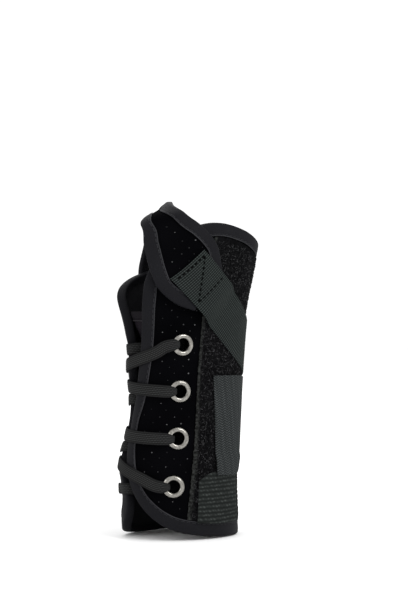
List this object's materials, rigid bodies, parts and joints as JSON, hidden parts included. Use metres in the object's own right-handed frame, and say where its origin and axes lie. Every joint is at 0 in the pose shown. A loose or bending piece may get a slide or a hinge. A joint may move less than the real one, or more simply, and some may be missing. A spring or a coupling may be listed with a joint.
{
  "type": "lace-up wrist brace",
  "caption": "Soft padded brace that wraps the forearm and palm, closed by flat laces through metal eyelets, with a thumb opening, a web flap and hook-and-loop straps.",
  "frame": {"origin": "middle of the wrist inside the brace, 88.7 mm above its hem", "axes": "+Z along the forearm towards the fingers, -Y out from the back of the hand, -X towards the thumb"},
  "size_m": [0.0927, 0.0619, 0.1993],
  "materials": {
    "suede": "black perforated synthetic suede over thin foam",
    "edge_tape": "smooth charcoal folded stretch tape",
    "loop_fabric": "fuzzy black loop fabric",
    "webbing": "dark grey green ribbed webbing",
    "herringbone": "grey herringbone hook tape",
    "elastic": "grey ribbed elastic",
    "lace": "charcoal flat braid",
    "nickel": "polished nickel plate",
    "tongue_cloth": "dark brushed tongue cloth",
    "hem_weave": "woven hem band"
  },
  "bodies": {
    "root": {"dorsal_panel": "suede", "palmar_panel": "suede", "dorsal_binding": "edge_tape", "palmar_binding": "edge_tape", "loop_panel": "loop_fabric", "web_flap": "suede", "flap_binding_thumb": "edge_tape", "flap_binding_finger": "edge_tape", "web_strap": "webbing", "pull_tab": "herringbone", "pull_strap": "herringbone", "elastic_patch": "elastic", "tongue": "tongue_cloth", "tongue_hem": "hem_weave", "lace_upper": "lace", "lace_lower": "lace", "eyelet_near_1": "nickel", "eyelet_far_1": "nickel", "eyelet_near_2": "nickel", "eyelet_far_2": "nickel", "eyelet_near_3": "nickel", "eyelet_far_3": "nickel", "eyelet_near_4": "nickel", "eyelet_far_4": "nickel"}
  },
  "joints": []
}
